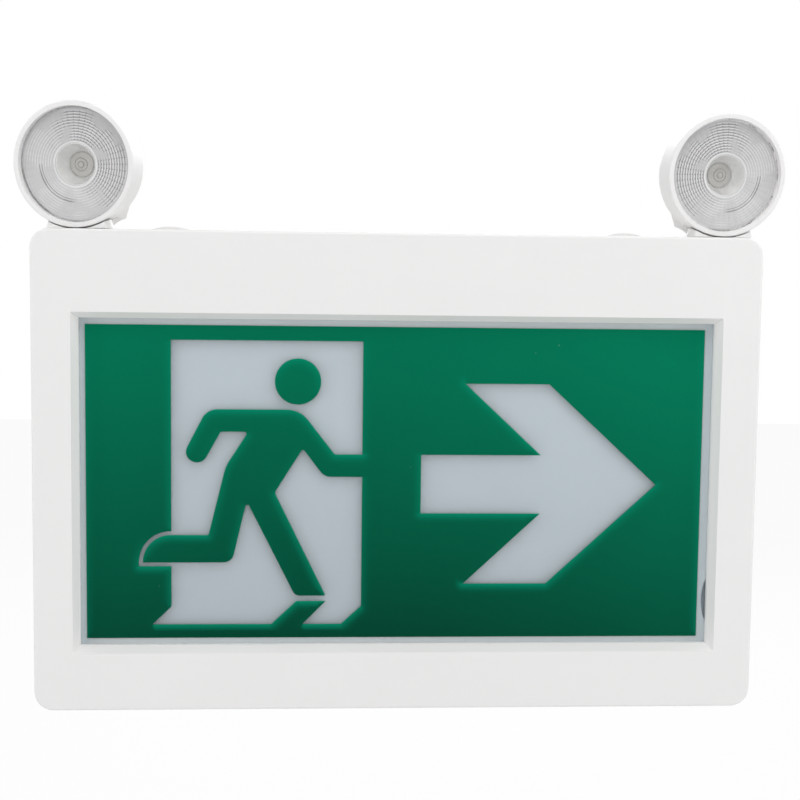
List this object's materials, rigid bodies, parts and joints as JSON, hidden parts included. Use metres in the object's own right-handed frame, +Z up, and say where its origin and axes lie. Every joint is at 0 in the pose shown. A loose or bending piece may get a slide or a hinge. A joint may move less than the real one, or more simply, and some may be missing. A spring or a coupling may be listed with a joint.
{
  "type": "emergency exit light",
  "caption": "Wall-mounted emergency exit light: a shallow box with a lit running-figure and arrow legend, and swivelling, tilting lamp heads on top.",
  "frame": {"origin": "centre of the junction box hole patterns on the back plate's wall face", "axes": "+Z up, +Y out of the back plate into the wall, +X to the right of someone facing the legend"},
  "size_m": [0.3621, 0.0521, 0.2874],
  "materials": {
    "white_shell": "moulded, fine satin",
    "green_film": "translucent print",
    "clear_sheet": "clear acrylic",
    "white_diffuser": "opal, satin",
    "clear_lens": "clear, ringed",
    "bright_reflector": "mirror",
    "emitter_yellow": "phosphor",
    "lamp_board_white": "solder mask",
    "board_green": "solder mask",
    "zinc_steel": "zinc plated",
    "core_steel": "varnished laminations",
    "coil_tape": "tape",
    "terminal_green": "moulded",
    "black_plastic": "moulded",
    "aluminium": "plain",
    "fuse_glass": "clear",
    "white_plug": "moulded",
    "pilot_red": "clear red",
    "button_red": "moulded",
    "battery_wrap": "shrink wrap"
  },
  "bodies": {
    "case": {"housing": "white_shell", "back_plate": "white_shell", "legend_film": "green_film", "clear_panel": "clear_sheet", "diffuser_panel": "white_diffuser", "light_box": "white_shell", "upper_light_bar": "board_green", "upper_bar_lights": "emitter_yellow", "lower_light_bar": "board_green", "lower_bar_lights": "emitter_yellow", "light_box_screws": "zinc_steel", "board_screws": "zinc_steel", "bracket_screws": "zinc_steel", "battery_pack": "battery_wrap", "battery_bracket": "zinc_steel", "charger_board": "board_green", "transformer_core": "core_steel", "transformer_coil": "coil_tape", "terminal_block": "terminal_green", "terminal_screws": "zinc_steel", "relay": "black_plastic", "capacitors": "black_plastic", "regulator_heat_sink": "aluminium", "board_fuse": "fuse_glass", "fuse_clips": "zinc_steel", "board_headers": "white_plug", "test_switch": "black_plastic", "pilot_light": "white_plug", "pilot_lens": "pilot_red"},
    "left_neck": {"left_neck": "white_shell", "left_neck_washer": "zinc_steel", "left_neck_nut": "zinc_steel", "left_pivot_bolt": "zinc_steel", "left_pivot_nut": "zinc_steel", "left_friction_washers": "zinc_steel"},
    "left_lamp": {"left_lamp_shell": "white_shell", "left_lens": "clear_lens", "left_reflector": "bright_reflector", "left_emitter": "emitter_yellow", "left_lamp_board": "lamp_board_white", "left_heat_sink": "aluminium", "left_lamp_screws": "zinc_steel"},
    "right_neck": {"right_neck": "white_shell", "right_neck_washer": "zinc_steel", "right_neck_nut": "zinc_steel", "right_pivot_bolt": "zinc_steel", "right_pivot_nut": "zinc_steel", "right_friction_washers": "zinc_steel"},
    "right_lamp": {"right_lamp_shell": "white_shell", "right_lens": "clear_lens", "right_reflector": "bright_reflector", "right_emitter": "emitter_yellow", "right_lamp_board": "lamp_board_white", "right_heat_sink": "aluminium", "right_lamp_screws": "zinc_steel"},
    "test_button": {"test_button": "button_red"}
  },
  "joints": [
    {"name": "left_swivel", "type": "hinge", "parent": "case", "child": "left_neck", "pos_m": [-0.1499, -0.037, 0.113], "axis": [0, 0, 1], "range_deg": [-158.5, 181.5]},
    {"name": "left_tilt", "type": "hinge", "parent": "left_neck", "child": "left_lamp", "pos_m": [-0.14655, -0.02054, 0.13055], "axis": [0.9799, -0.1994, 0], "range_deg": [-40, 0.6]},
    {"name": "right_swivel", "type": "hinge", "parent": "case", "child": "right_neck", "pos_m": [0.1529, -0.037, 0.113], "axis": [0, 0, 1], "range_deg": [-175, 165]},
    {"name": "right_tilt", "type": "hinge", "parent": "right_neck", "child": "right_lamp", "pos_m": [0.15144, -0.02026, 0.13055], "axis": [0.9962, 0.0872, 0], "range_deg": [-40, 0.6]},
    {"name": "test_button_press", "type": "slide", "parent": "case", "child": "test_button", "axis": [0, 0, 1], "range_m": [0, 0.0016], "stiffness_N_per_m": 400, "springref_m": -0.001}
  ]
}
